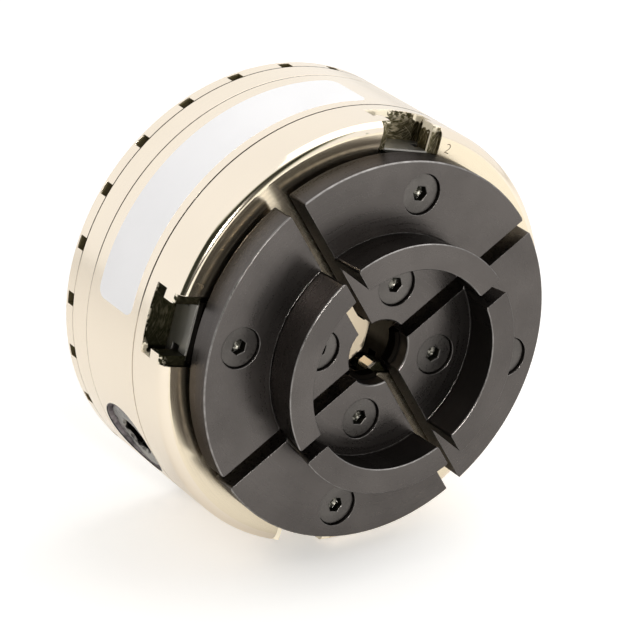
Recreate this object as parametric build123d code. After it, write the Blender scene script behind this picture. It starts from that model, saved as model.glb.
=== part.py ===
from build123d import *
from math import cos, hypot, pi, radians, sin, sqrt, tan
import os

# A four-jaw geared scroll chuck for a woodturning lathe.
# It stands on its rear face with the jaws up. The origin is the centre of the rear face.
# +Z is the spindle axis. Jaws 1 to 4 slide along +X, +Y, -X and -Y. All sizes are millimetres.

os.makedirs("parts", exist_ok=True)

# Named fits
RUN = 0.05            # radial clearance of a turning fit
SLIDE = 0.10          # clearance on each flat side of a slide in its slot
BOLT = 0.50           # radial clearance of a screw in a plain hole
THREAD = 0.03         # radial play of a plain screw shank in its tapped hole
SEAT = 0.02           # play of a countersunk head in its seat

# Drive pinion
GEAR_TEETH = 54
PINION_TEETH = 9
PINION_ANGLE = 223.0
PINION_R = 11.7       # journal in the body wall
PINION_SUNK = 1.3     # pinion face below the body's outside
PINION_CHAMFER = 1.6
PILOT_R = 4.0
PILOT_WALL = 2.0      # metal left between hub and pilot bore
NECK_GAP = 0.4        # from the wheel's teeth to the pinion's neck
NECK_STEP = 0.33      # neck radius over the pitch radius
HEX_FLATS = 11.0
HEX_DEEP = 11.0
PIN_R = 1.5
PIN_TOP_GAP = 10.0    # from the pinion axis down to the top of its pin
PIN_LOW = 1.9         # bottom of the pin above the index ring
GROOVE_DEEP = 2.0     # groove round the journal for the pin
GROOVE_SPARE = 0.35

# Heights, each piece standing on the one below
RING_HIGH = 4.3
PLATE_HIGH = 7.9
PINION_FLOOR = 1.5    # metal under the pinion
WHEEL_REAR = 5.7      # rear of the scroll over the pinion axis
THREAD_ROOT = 12.8    # root of the scroll thread over the pinion axis
THREAD_HIGH = 3.4
THREAD_GAP = 0.3      # from the scroll thread to the slot floor
RIB_LOW = 4.6         # slot floor to rib
RIB_HIGH = 4.7
FACE_RIM = 1.4        # rib to front face
JAW_STAND = 2.5       # front face to the back of the top jaws
JAW_HIGH = 7.9
GRIP_HIGH = 12.6
STEP_HIGH = 3.7       # ledge in the jaw hole
RING_Z = RING_HIGH
PLATE_Z = RING_Z + PLATE_HIGH
PINION_Z = PLATE_Z + PINION_FLOOR + PINION_R
SCROLL_REAR_Z = PINION_Z + WHEEL_REAR
THREAD_ROOT_Z = PINION_Z + THREAD_ROOT
THREAD_TOP_Z = THREAD_ROOT_Z + THREAD_HIGH
FLOOR_Z = THREAD_TOP_Z + THREAD_GAP
RIB_LOW_Z = FLOOR_Z + RIB_LOW
RIB_TOP_Z = RIB_LOW_Z + RIB_HIGH
FACE_Z = RIB_TOP_Z + FACE_RIM
JAW_BACK_Z = FACE_Z + JAW_STAND
JAW_FRONT_Z = JAW_BACK_Z + JAW_HIGH
GRIP_TOP_Z = JAW_FRONT_Z + GRIP_HIGH
HOLE_STEP_Z = JAW_BACK_Z + STEP_HIGH
PIN_TOP_Z = PINION_Z - PIN_TOP_GAP
PIN_LOW_Z = RING_Z + PIN_LOW

# Spindle insert: 1 inch thread, 8 turns to the inch
SPINDLE_R = 12.7
INSERT_WALL = 4.8
INSERT_FLANGE = 2.5   # flange edge past the insert's outside
INSERT_FLANGE_HIGH = 3.5
INSERT_LONG = 24.0
INSERT_LEAD = 1.5     # lead-in cone of the bore
SPANNER_R = 2.0
SPANNER_WALL = 1.8    # from the bore to a spanner hole
SPANNER_DEEP = 5.0
LOCK_R = 2.0
LOCK_LONG = 8.0
LOCK_ANGLE = 100.0
LOCK_SINK_R = 3.2
LOCK_SOCKET_FLATS = 2.0
LOCK_SOCKET_DEEP = 2.0
INSERT_R = SPINDLE_R + INSERT_WALL
INSERT_FLANGE_R = INSERT_R + INSERT_FLANGE
SPANNER_AT_R = SPINDLE_R + SPANNER_WALL + SPANNER_R

# Body
BODY_R = 62.5
BODY_WALL = 9.2       # wall outside the scroll pocket
HUB_WALL = 2.0        # hub outside the insert's flange
WELL_R = 11.3         # round well between the jaw tips
SCREW_HOLE_R = 4.0    # centre hole for a screw centre
RIM_ROUND = 3.0       # rounded edge of the front face
SEAM_CHAMFER = 0.25
LINE_BACK = 14.9      # turned line behind the front face
LINE_WIDTH = 0.5
LINE_DEPTH = 0.35
SLOT_HALF = 9.95      # T-slots, half width
NECK_HALF = 7.3
HUB_R = INSERT_FLANGE_R + HUB_WALL
POCKET_R = BODY_R - BODY_WALL
GROOVE_Z = FACE_Z - LINE_BACK

# Index ring and back plate
RING_WIDE = 14.5
REAR_CHAMFER = 0.6
NOTCH_COUNT = 24
NOTCH_PHASE = 9.5
NOTCH_WIDTH = 3.8
NOTCH_HIGH = 3.0
NOTCH_DEEP = 3.2
RING_IN_R = BODY_R - RING_WIDE
PLATE_SCREW_COUNT = 6
PLATE_SCREW_PHASE = 17.0
PLATE_SCREW_EDGE = 5.3
PLATE_SCREW_R = 2.5
PLATE_SCREW_HEAD_R = 4.6
PLATE_SCREW_LONG = 24.0
PLATE_SOCKET_FLATS = 3.0
PLATE_SOCKET_DEEP = 2.2
PLATE_HEAD_DROP = 0.1
TAP_SPARE = 1.5       # tapped hole past the screw's end

# Scroll wheel
PITCH = 6.0           # jaw travel for one turn of the scroll
THREAD_WIDTH = 2.5
SPIRAL_STEP = 1.5     # inner rim of the scroll
SCROLL_GAP = 1.0      # scroll edge to pocket wall
GEAR_EDGE = 6.3       # scroll edge outside the teeth
GEAR_WIDE = 8.0       # tooth length
SPIRAL_IN_R = HUB_R + SPIRAL_STEP
SCROLL_R = POCKET_R - SCROLL_GAP
GEAR_OUT_R = SCROLL_R - GEAR_EDGE
GEAR_IN_R = GEAR_OUT_R - GEAR_WIDE
BOSS_SHIFT = 2.0      # boss edge past the middle between hub and teeth
BOSS_R = (HUB_R + GEAR_IN_R) / 2 + BOSS_SHIFT
PILOT_END_R = (HUB_R + BOSS_R) / 2
PINION_FACE_R = BODY_R - PINION_SUNK
PIN_EDGE = 5.0
PIN_DIST = BODY_R - PIN_EDGE

# Jaw slides
TRAVEL_IN = 3.0       # closing travel of a jaw from the modelled pose
TRAVEL_OUT = 8.0      # opening travel, slide end nearly flush with the body
TRAVEL_SPARE = 0.5
END_GAP = 0.1
TOOTH_WIDTH = 2.5
TOOTH_SPAN = 13.0
HOLLOW_MORE = 4.0     # tooth's hollow side, radius over the scroll's
BULGE_MORE = 1.0      # tooth's round side, radius over the inner rim's
RELIEF_IN = 1.5       # corner groove into the neck
RELIEF_OUT = 0.9      # the same groove into the foot
RELIEF_HIGH = 1.4     # and above and below the rib's lower side
RELIEF_LOW = 1.8
HEAD_EDGE = 1.35      # head's side inside the slot's
HEAD_BACK = 0.3       # head's end inside the slide's end
LAND_HIGH = 1.4       # raised land that the top jaw sits on
LAND_BACK = 4.0       # land's end inside the slide's end
SLIDE_TIP_R = WELL_R
SLIDE_END_R = BODY_R - TRAVEL_OUT - END_GAP
HEAD_TOP_Z = JAW_BACK_Z - LAND_HIGH

# Jaw screws: M6 countersunk, hexagon socket
SCREW_R = 3.0
HEAD_R = 5.8
HEAD_RIM = 0.5
HEAD_DROP = 0.9
HEAD_GAP = 0.15
SCREW_LONG = 16.0
SOCKET_FLATS = 4.0
SOCKET_DEEP = 2.4
RECESS_R = HEAD_R + HEAD_GAP

# Top jaws
JAW_EDGE = 7.3        # jaw edge inside the body's edge
JAW_GAP = 4.8
SCREW_EDGE = 9.45     # outer screw inside the jaw's edge
GRIP_EDGE = 3.4       # screw recess to grip ring
GRIP_WALL = 7.35
GRIP_OUT_LEAN = 1.7   # dovetail lean of the grip ring, outside
GRIP_IN_LEAN = 1.55
HOLE_FRONT_R = 9.6
HOLE_STEP = 1.0
STEP_SLOPE = 0.6
FOOT_GROOVE = 0.4
JAW_CORNER = 0.8
EDGE_BREAK = 0.35
LIP = 0.25            # broken edge on top of the grip ring
SCREW_SHIFT = 0.175   # inner screw past the middle of its land
JAW_R = BODY_R - JAW_EDGE
OUTER_SCREW_R = JAW_R - SCREW_EDGE
GRIP_OUT_TOP_R = OUTER_SCREW_R - RECESS_R - GRIP_EDGE
GRIP_OUT_FOOT_R = GRIP_OUT_TOP_R - GRIP_OUT_LEAN
GRIP_IN_TOP_R = GRIP_OUT_TOP_R - GRIP_WALL
GRIP_IN_FOOT_R = GRIP_IN_TOP_R + GRIP_IN_LEAN
HOLE_BACK_R = HOLE_FRONT_R - HOLE_STEP
INNER_SCREW_R = (HOLE_FRONT_R + GRIP_IN_TOP_R) / 2 + SCREW_SHIFT

# Gear values that follow from the sizes above
RATIO = GEAR_TEETH / PINION_TEETH
PINION_PITCH_R = GEAR_OUT_R / RATIO
MODULE = 2 * PINION_PITCH_R / PINION_TEETH
ADDENDUM = 0.95 * MODULE
DEDENDUM = 1.25 * MODULE
ROOT_SLOPE = (PINION_PITCH_R + DEDENDUM) / GEAR_OUT_R
NECK_R = PINION_PITCH_R + NECK_STEP
GROOVE_BOTTOM_R = PINION_R - GROOVE_DEEP
BOSS_Z = SCROLL_REAR_Z - RUN
PAST = 1.0            # overrun of a cutter


def ring(outer, inner, low, high):
    """Flat ring between two heights."""
    solid = post(outer, low, high)
    if inner > 0:
        solid = solid - post(inner, low - PAST, high + PAST)
    return solid


def post(radius, low, high, x=0.0, y=0.0):
    """Upright round bar."""
    return Pos(x, y, low) * Cylinder(radius, high - low, align=(Align.CENTER, Align.CENTER, Align.MIN))


def block(x0, x1, y0, y1, z0, z1):
    """Box given by its limits."""
    return Pos((x0 + x1) / 2, (y0 + y1) / 2, (z0 + z1) / 2) * Box(x1 - x0, y1 - y0, z1 - z0)


def cone(low_r, high_r, low, high, x=0.0, y=0.0):
    """Upright cone frustum."""
    centred = (Align.CENTER, Align.CENTER, Align.MIN)
    return Pos(x, y, low) * Cone(low_r, high_r, high - low, align=centred)


def turned(points):
    """Solid of revolution about Z from radius and height pairs."""
    outline = Polyline([(r, 0, z) for r, z in points], close=True)
    return revolve(make_face(outline), Axis.Z, 360)


def polar(radius, angle):
    """Point on a circle about Z, angle in degrees."""
    return radius * cos(radians(angle)), radius * sin(radians(angle))


def radial(solid):
    """Turn a solid built along +Z so that +Z points out along the pinion axis."""
    return Rot(0, 0, PINION_ANGLE) * Pos(0, 0, PINION_Z) * Rot(0, 90, 0) * solid


def hexagon(flats, low, high, x=0.0, y=0.0):
    """Upright hexagonal bar."""
    face = RegularPolygon(flats / 2, 6, major_radius=False)
    return extrude(Pos(x, y, low) * face, amount=high - low)


def named(solid, name, colour):
    """Write one node."""
    solid.label = name
    solid.color = Color(*colour)
    export_step(solid, "parts/" + name + ".step")
    return solid


# Front body: turned block, scroll pocket from the rear, hub, crossed T-slots on the front
body = post(BODY_R, PLATE_Z, FACE_Z)
body = fillet(body.edges().filter_by(GeomType.CIRCLE).group_by(Axis.Z)[-1], RIM_ROUND)
body = chamfer(body.edges().filter_by(GeomType.CIRCLE).group_by(Axis.Z)[0], SEAM_CHAMFER)
body = body - ring(POCKET_R, HUB_R, PLATE_Z - 1, FLOOR_Z)
body = body + post(HUB_R, 0, PLATE_Z + 1)
body = body - ring(BODY_R + 1, BODY_R - LINE_DEPTH, GROOVE_Z - LINE_WIDTH / 2, GROOVE_Z + LINE_WIDTH / 2)
body = body - post(WELL_R, FLOOR_Z, FACE_Z + 1)
body = body - post(SCREW_HOLE_R, 0, FLOOR_Z + 1)
body = body - post(INSERT_R + THREAD, -PAST, INSERT_LONG + 0.5)
body = body - post(INSERT_FLANGE_R + THREAD, -PAST, INSERT_FLANGE_HIGH)
REACH = BODY_R + 5 * PAST
for turn in (0, 90):
    slot = block(-REACH, REACH, -SLOT_HALF, SLOT_HALF, FLOOR_Z, RIB_LOW_Z)
    slot = slot + block(-REACH, REACH, -NECK_HALF, NECK_HALF, RIB_LOW_Z - 0.5, RIB_TOP_Z + 0.5)
    slot = slot + block(-REACH, REACH, -SLOT_HALF, SLOT_HALF, RIB_TOP_Z, FACE_Z + 1)
    body = body - Rot(0, 0, turn) * slot
body = body - radial(post(PINION_R + RUN, POCKET_R - 5 * PAST, REACH))
plate_screw_spots = []
for k in range(PLATE_SCREW_COUNT):
    turn = PLATE_SCREW_PHASE + k * 360 / PLATE_SCREW_COUNT
    plate_screw_spots.append(polar(BODY_R - PLATE_SCREW_EDGE, turn))
for x, y in plate_screw_spots:
    body = body - post(PLATE_SCREW_R + THREAD, PLATE_Z - 1, PLATE_SCREW_LONG + TAP_SPARE, x, y)
pin_x, pin_y = polar(PIN_DIST, PINION_ANGLE)
body = body - post(PIN_R + RUN, PLATE_Z - PAST, PIN_TOP_Z + PIN_TOP_GAP / 2, pin_x, pin_y)
lock_x, lock_y = polar(INSERT_R, LOCK_ANGLE)
lock_end = INSERT_FLANGE_HIGH + LOCK_LONG
body = body - post(LOCK_R + THREAD, 0, lock_end + 0.5, lock_x, lock_y)
body = body - post(LOCK_SINK_R, -PAST, INSERT_FLANGE_HIGH, lock_x, lock_y)

# Back plate: closes the pocket, its boss carries the scroll and the inner end of the pinion
plate = ring(BODY_R, HUB_R + RUN, RING_Z, PLATE_Z)
plate = chamfer(plate.edges().filter_by(GeomType.CIRCLE).group_by(SortBy.RADIUS)[-1], SEAM_CHAMFER)
plate = plate + ring(RING_IN_R - RUN, HUB_R + RUN, 0, RING_Z + 0.5)
plate = plate + ring(BOSS_R, HUB_R + RUN, PLATE_Z - 0.5, BOSS_Z)
plate = plate - radial(post(PILOT_R + RUN, HUB_R + PILOT_WALL, BOSS_R + PAST))
for x, y in plate_screw_spots:
    plate = plate - post(PLATE_SCREW_R + BOLT, 0, PLATE_Z + 1, x, y)
plate = plate - post(PIN_R + RUN, PIN_LOW_Z, PLATE_Z + 1, pin_x, pin_y)

# Index ring: 24 notches along its front edge
index_ring = ring(BODY_R, RING_IN_R, 0, RING_Z)
outer_edges = index_ring.edges().filter_by(GeomType.CIRCLE).group_by(SortBy.RADIUS)[-1]
index_ring = chamfer(outer_edges.sort_by(Axis.Z)[0], REAR_CHAMFER)
half = NOTCH_WIDTH / 2
notch = block(BODY_R - NOTCH_DEEP, BODY_R + PAST, -half, half, RING_Z - NOTCH_HIGH, RING_Z + PAST)
notches = []
for k in range(NOTCH_COUNT):
    notches.append(Rot(0, 0, NOTCH_PHASE + k * 360 / NOTCH_COUNT) * notch)
index_ring = index_ring - notches
seat_r = PLATE_SCREW_HEAD_R + PLATE_HEAD_DROP + SEAT
for x, y in plate_screw_spots:
    index_ring = index_ring - post(PLATE_SCREW_R + BOLT, -1, RING_Z + 1, x, y)
    index_ring = index_ring - cone(seat_r, PLATE_SCREW_R + BOLT, 0, seat_r - PLATE_SCREW_R - BOLT, x, y)

# Six countersunk screws hold ring and plate to the body
plate_screws = []
for x, y in plate_screw_spots:
    head_end = PLATE_HEAD_DROP + PLATE_SCREW_HEAD_R - PLATE_SCREW_R
    head = cone(PLATE_SCREW_HEAD_R, PLATE_SCREW_R, PLATE_HEAD_DROP, head_end, x, y)
    screw = head + post(PLATE_SCREW_R, PLATE_HEAD_DROP, PLATE_SCREW_LONG, x, y)
    screw = screw - hexagon(PLATE_SOCKET_FLATS, 0, PLATE_SOCKET_DEEP, x, y)
    plate_screws.append(screw)

# Spindle insert: flange, outside thread in the hub, bore for the lathe spindle
insert = ring(INSERT_FLANGE_R, 0, 0, INSERT_FLANGE_HIGH - RUN)
insert = insert + post(INSERT_R, INSERT_FLANGE_HIGH - PAST, INSERT_LONG)
insert = insert - post(SPINDLE_R, -PAST, INSERT_LONG + PAST)
insert = insert - cone(SPINDLE_R + INSERT_LEAD, SPINDLE_R, 0, INSERT_LEAD)
for k in range(4):
    x, y = polar(SPANNER_AT_R, 45 + 90 * k)
    insert = insert - post(SPANNER_R, -PAST, SPANNER_DEEP, x, y)
insert = insert - post(LOCK_R + THREAD, -PAST, lock_end + 0.5, lock_x, lock_y)
insert = insert - post(LOCK_SINK_R, -PAST, INSERT_FLANGE_HIGH, lock_x, lock_y)

# Grub screw on the joint line of insert and hub
lock_screw = post(LOCK_R, INSERT_FLANGE_HIGH, lock_end, lock_x, lock_y)
lock_screw = lock_screw - hexagon(LOCK_SOCKET_FLATS, 0, INSERT_FLANGE_HIGH + LOCK_SOCKET_DEEP, lock_x, lock_y)


def gear_tooth(levels):
    """Tooth wedge of the bevel pair, drawn at the outer end and shrunk toward the common apex."""
    faces = []
    for radius in (GEAR_IN_R, GEAR_OUT_R):
        scale = radius / GEAR_OUT_R
        right = [(radius, half * scale, (PINION_PITCH_R + rise) * scale) for rise, half in levels]
        left = [(radius, -half * scale, (PINION_PITCH_R + rise) * scale) for rise, half in reversed(levels)]
        faces.append(make_face(Polyline(right + left, close=True)))
    return loft(faces)


def scroll_turn(angle):
    """Radius of the middle of the spiral thread at an angle in degrees, rest position."""
    return SPIRAL_IN_R - THREAD_WIDTH / 2 + PITCH * angle / 360


# Scroll ring: revolved blank, spiral thread on the front, bevel gear on the rear
blank = turned([
    (HUB_R + RUN, SCROLL_REAR_Z),
    (GEAR_IN_R - 2.6, SCROLL_REAR_Z),
    (GEAR_IN_R - 1.0, PINION_Z + ROOT_SLOPE * (GEAR_IN_R - 1.0)),
    (GEAR_OUT_R + 0.5, PINION_Z + ROOT_SLOPE * (GEAR_OUT_R + 0.5)),
    (SCROLL_R, PINION_Z + ROOT_SLOPE * (GEAR_OUT_R + 0.5)),
    (SCROLL_R, THREAD_ROOT_Z),
    (SPIRAL_IN_R, THREAD_ROOT_Z),
    (SPIRAL_IN_R, THREAD_TOP_Z),
    (HUB_R + RUN, THREAD_TOP_Z),
])
TURNS = (SCROLL_R + THREAD_WIDTH - SPIRAL_IN_R) / PITCH
STEPS = 40
spiral_in = []
spiral_out = []
for k in range(int(TURNS * STEPS) + 1):
    angle = 360 * k / STEPS
    middle = scroll_turn(angle)
    spiral_in.append(polar(middle - THREAD_WIDTH / 2, angle))
    spiral_out.append(polar(middle + THREAD_WIDTH / 2, angle))
inner_edge = Spline(spiral_in)
outer_edge = Spline(spiral_out)
start_edge = Line(spiral_in[0], spiral_out[0])
end_edge = Line(spiral_in[-1], spiral_out[-1])
spiral = make_face(Wire([inner_edge, end_edge, outer_edge, start_edge]))
thread = extrude(Pos(0, 0, THREAD_ROOT_Z - 0.3) * spiral, amount=THREAD_TOP_Z - THREAD_ROOT_Z + 0.3)
thread = thread & ring(SCROLL_R, SPIRAL_IN_R - 0.4, THREAD_ROOT_Z - 0.3, THREAD_TOP_Z)
scroll = blank + thread
# Tooth levels are rise above the pitch line and half width there. A wheel tooth points to the rear.
EMBED = 0.25
PRESSURE = tan(radians(20))
wheel_half = 0.20 * pi * MODULE
wheel_levels = [
    (-ADDENDUM, wheel_half - PRESSURE * ADDENDUM),
    (0.0, wheel_half),
    (DEDENDUM + EMBED, wheel_half + PRESSURE * (DEDENDUM + EMBED)),
]
wheel_teeth = []
for k in range(GEAR_TEETH):
    turn = PINION_ANGLE + k * 360 / GEAR_TEETH
    wheel_teeth.append(Rot(0, 0, turn) * Pos(0, 0, PINION_Z) * gear_tooth(wheel_levels))
scroll = scroll + wheel_teeth

# Drive pinion: journal in the body wall, groove for the pin, bevel teeth, pilot in the boss
pinion = post(PINION_R, POCKET_R + 0.6, PINION_FACE_R)
pinion = chamfer(pinion.edges().group_by(Axis.Z)[-1], PINION_CHAMFER)
pinion = pinion + post(NECK_R, GEAR_OUT_R + NECK_GAP, POCKET_R + 1)
groove_half = PIN_R + GROOVE_SPARE
pinion = pinion - ring(PINION_R + PAST, GROOVE_BOTTOM_R, PIN_DIST - groove_half, PIN_DIST + groove_half)
root_r = PINION_PITCH_R - DEDENDUM
core_end = GEAR_OUT_R + NECK_GAP
pinion = pinion + cone(root_r * GEAR_IN_R / GEAR_OUT_R, root_r * core_end / GEAR_OUT_R, GEAR_IN_R, core_end)
pinion = pinion + post(PILOT_R, PILOT_END_R, GEAR_IN_R + 1)
# Below the pitch line a pinion tooth narrows toward its axis, to clear the wheel's tips.
tooth_half = 0.19 * pi * MODULE
root_half = tooth_half * (root_r - EMBED) / PINION_PITCH_R
pinion_levels = [
    (-DEDENDUM - EMBED, root_half),
    (0.0, tooth_half),
    (ADDENDUM, tooth_half - PRESSURE * ADDENDUM),
]
pinion_teeth = []
for k in range(PINION_TEETH):
    # A gap faces the wheel tooth that stands over the pinion.
    turn = (k + 0.5) * 360 / PINION_TEETH
    pinion_teeth.append(Rot(0, 0, turn) * Rot(0, -90, 0) * gear_tooth(pinion_levels))
pinion = pinion + pinion_teeth
pinion = pinion - hexagon(HEX_FLATS, PINION_FACE_R - HEX_DEEP, PINION_FACE_R + 1)
pinion = pinion - cone(HEX_FLATS / 2 - 0.2, HEX_FLATS / 2 + 1.6, PINION_FACE_R - 0.9, PINION_FACE_R + 0.9)
pinion = radial(pinion)

# Retaining pin of the pinion, pressed in the back plate
pinion_pin = post(PIN_R, PIN_LOW_Z + 0.1, PIN_TOP_Z, pin_x, pin_y)


def mitre(gap, low, high):
    """Wedge that a jaw on +X may fill so that neighbours keep a parallel gap."""
    start = gap / sqrt(2)
    far = 2 * BODY_R
    outline = Polyline([(start, 0, low), (start + far, -far, low), (start + far, far, low)], close=True)
    return extrude(make_face(outline), amount=high - low, dir=(0, 0, 1))


def jaw_slide(number):
    """T-shaped slide with scroll teeth; each jaw's teeth follow the spiral at its own angle."""
    low = FLOOR_Z + SLIDE
    wide = SLOT_HALF - SLIDE
    side = NECK_HALF - SLIDE
    edge = SLOT_HALF - HEAD_EDGE
    foot = block(SLIDE_TIP_R, SLIDE_END_R, -wide, wide, low, RIB_LOW_Z - SLIDE)
    neck = block(SLIDE_TIP_R, SLIDE_END_R, -side, side, low, RIB_TOP_Z + SLIDE)
    head = block(SLIDE_TIP_R, SLIDE_END_R - HEAD_BACK, -edge, edge, RIB_TOP_Z + SLIDE, HEAD_TOP_Z)
    land = block(SLIDE_TIP_R, SLIDE_END_R - LAND_BACK, -side, side, RIB_TOP_Z, JAW_BACK_Z)
    slide = foot + neck + head + land
    groove_in = side - RELIEF_IN
    groove_out = side + RELIEF_OUT
    groove_low = RIB_LOW_Z - RELIEF_LOW
    groove_top = RIB_LOW_Z + RELIEF_HIGH
    cut = block(SLIDE_TIP_R - PAST, SLIDE_END_R + PAST, groove_in, groove_out, groove_low, groove_top)
    slide = slide - [cut, mirror(cut, Plane.XZ)]
    slide = slide & mitre(JAW_GAP, low - 1, JAW_BACK_Z + 1)
    # Teeth sit in the grooves of the spiral, only where they stay on the scroll over the whole travel.
    groove = scroll_turn(90 * (number - 1)) + PITCH / 2
    nearest = SPIRAL_IN_R + TRAVEL_IN + TOOTH_WIDTH / 2 + TRAVEL_SPARE
    farthest = POCKET_R - TRAVEL_OUT - TOOTH_WIDTH / 2 - TRAVEL_SPARE / 2
    spots = [groove + PITCH * k for k in range(12) if nearest <= groove + PITCH * k <= farthest]
    for spot in spots:
        # Crescent tooth: hollow toward the axis with a large radius, round outside with a small one.
        hollow = SCROLL_R + HOLLOW_MORE
        bulge = SPIRAL_IN_R + BULGE_MORE
        outside = post(bulge, THREAD_ROOT_Z + 0.3, low + 0.2, spot + TOOTH_WIDTH / 2 - bulge)
        inside = post(hollow, THREAD_ROOT_Z, low + 1, spot - TOOTH_WIDTH / 2 - hollow)
        span = TOOTH_SPAN / 2
        tooth = (outside - inside) & block(spot - PITCH, spot + PITCH, -span, span, THREAD_ROOT_Z, low + PAST)
        slide = slide + tooth
    screw_end = JAW_FRONT_Z - HEAD_DROP - SCREW_LONG
    for spot in (INNER_SCREW_R, OUTER_SCREW_R):
        slide = slide - post(SCREW_R + THREAD, screw_end - 1.0, JAW_BACK_Z + 1, spot)
        slide = slide - cone(SCREW_R, SCREW_R + 0.6, JAW_BACK_Z - 0.6, JAW_BACK_Z, spot)
    return slide


def top_jaw():
    """Quarter flange with a dovetailed grip ring, on +X."""
    flange = turned([
        (HOLE_BACK_R, JAW_BACK_Z),
        (JAW_R - EDGE_BREAK, JAW_BACK_Z),
        (JAW_R, JAW_BACK_Z + EDGE_BREAK),
        (JAW_R, JAW_FRONT_Z - EDGE_BREAK),
        (JAW_R - EDGE_BREAK, JAW_FRONT_Z),
        (GRIP_OUT_FOOT_R + FOOT_GROOVE, JAW_FRONT_Z),
        (GRIP_OUT_FOOT_R, JAW_FRONT_Z - FOOT_GROOVE),
        (GRIP_OUT_TOP_R, GRIP_TOP_Z - LIP),
        (GRIP_OUT_TOP_R - LIP, GRIP_TOP_Z),
        (GRIP_IN_TOP_R + LIP, GRIP_TOP_Z),
        (GRIP_IN_TOP_R, GRIP_TOP_Z - LIP),
        (GRIP_IN_FOOT_R, JAW_FRONT_Z - FOOT_GROOVE),
        (GRIP_IN_FOOT_R - FOOT_GROOVE, JAW_FRONT_Z),
        (HOLE_FRONT_R + EDGE_BREAK, JAW_FRONT_Z),
        (HOLE_FRONT_R, JAW_FRONT_Z - EDGE_BREAK),
        (HOLE_FRONT_R, HOLE_STEP_Z),
        (HOLE_BACK_R, HOLE_STEP_Z - STEP_SLOPE),
    ])
    jaw = flange & mitre(JAW_GAP, JAW_BACK_Z - 1, GRIP_TOP_Z + 1)
    upright = jaw.edges().filter_by(lambda e: abs(e.tangent_at(0.5).Z) > 0.9)
    corners = upright.filter_by(lambda e: hypot(e.center().X, e.center().Y) > GRIP_IN_TOP_R - 1)
    jaw = fillet(corners, JAW_CORNER)
    head_z = JAW_FRONT_Z - HEAD_DROP
    for spot in (INNER_SCREW_R, OUTER_SCREW_R):
        jaw = jaw - post(RECESS_R, head_z - HEAD_RIM, JAW_FRONT_Z + 1, spot)
        sink = HEAD_R + SEAT - SCREW_R - BOLT
        jaw = jaw - cone(SCREW_R + BOLT, HEAD_R + SEAT, head_z - HEAD_RIM - sink, head_z - HEAD_RIM, spot)
        jaw = jaw - post(SCREW_R + BOLT, JAW_BACK_Z - 1, JAW_FRONT_Z, spot)
    return jaw


def jaw_screw(spot):
    """Countersunk screw, its head a little under the jaw face."""
    top = JAW_FRONT_Z - HEAD_DROP
    sink = HEAD_R - SCREW_R
    screw = post(HEAD_R, top - HEAD_RIM, top, spot)
    screw = chamfer(screw.edges().group_by(Axis.Z)[-1], 0.15)
    screw = screw + cone(SCREW_R, HEAD_R, top - HEAD_RIM - sink, top - HEAD_RIM, spot)
    screw = screw + post(SCREW_R, top - SCREW_LONG, top - HEAD_RIM, spot)
    screw = screw - hexagon(SOCKET_FLATS, top - SOCKET_DEEP, top + 1, spot)
    return screw


PLATED = (0.80, 0.75, 0.66)
BLACK = (0.13, 0.13, 0.13)
STEEL = (0.45, 0.44, 0.43)
named(body, "front_body", PLATED)
named(plate, "back_plate", PLATED)
named(index_ring, "index_ring", PLATED)
named(Compound(children=plate_screws), "plate_screws", BLACK)
named(insert, "spindle_insert", STEEL)
named(lock_screw, "insert_lock_screw", BLACK)
named(scroll, "scroll_ring", STEEL)
named(pinion, "drive_pinion", STEEL)
named(pinion_pin, "pinion_pin", STEEL)
top = top_jaw()
for number in (1, 2, 3, 4):
    place = Rot(0, 0, 90 * (number - 1))
    named(place * jaw_slide(number), "jaw_slide_%d" % number, BLACK)
    named(place * top, "top_jaw_%d" % number, BLACK)
    pair = [place * jaw_screw(INNER_SCREW_R), place * jaw_screw(OUTER_SCREW_R)]
    named(Compound(children=pair), "jaw_screws_%d" % number, BLACK)
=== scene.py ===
import math

import bmesh
import bpy
import numpy as np
from bpy.props import FloatProperty, FloatVectorProperty, IntProperty, PointerProperty
from bpy.types import Operator, Panel, PropertyGroup
from mathutils import Euler, Matrix, Vector


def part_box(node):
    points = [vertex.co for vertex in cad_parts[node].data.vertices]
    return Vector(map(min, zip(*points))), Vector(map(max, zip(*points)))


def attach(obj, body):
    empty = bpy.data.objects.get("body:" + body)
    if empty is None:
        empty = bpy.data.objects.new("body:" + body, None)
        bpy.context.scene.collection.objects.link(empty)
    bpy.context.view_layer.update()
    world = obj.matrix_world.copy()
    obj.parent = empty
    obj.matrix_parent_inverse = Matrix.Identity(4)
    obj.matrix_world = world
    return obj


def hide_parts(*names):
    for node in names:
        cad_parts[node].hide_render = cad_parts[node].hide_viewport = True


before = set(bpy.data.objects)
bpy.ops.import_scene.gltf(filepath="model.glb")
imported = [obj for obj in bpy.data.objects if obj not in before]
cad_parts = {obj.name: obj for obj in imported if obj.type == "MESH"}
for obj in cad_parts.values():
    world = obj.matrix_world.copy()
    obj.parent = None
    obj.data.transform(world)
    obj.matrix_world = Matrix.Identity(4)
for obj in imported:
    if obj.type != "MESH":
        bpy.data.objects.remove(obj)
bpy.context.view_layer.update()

bl_info = {
    "name": "Four-jaw lathe chuck finishes",
    "version": (1, 0, 0),
    "blender": (4, 5, 0),
    "location": "View3D > Sidebar > Chuck",
    "description": "Plating, black oxide, label strip, station numbers and studio for a scroll chuck",
    "category": "Object",
}

MM = 0.001
SKIN = 0.05 * MM          # how far a mask's border keeps from the face that it stands for
JAWS = (1, 2, 3, 4)

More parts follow.
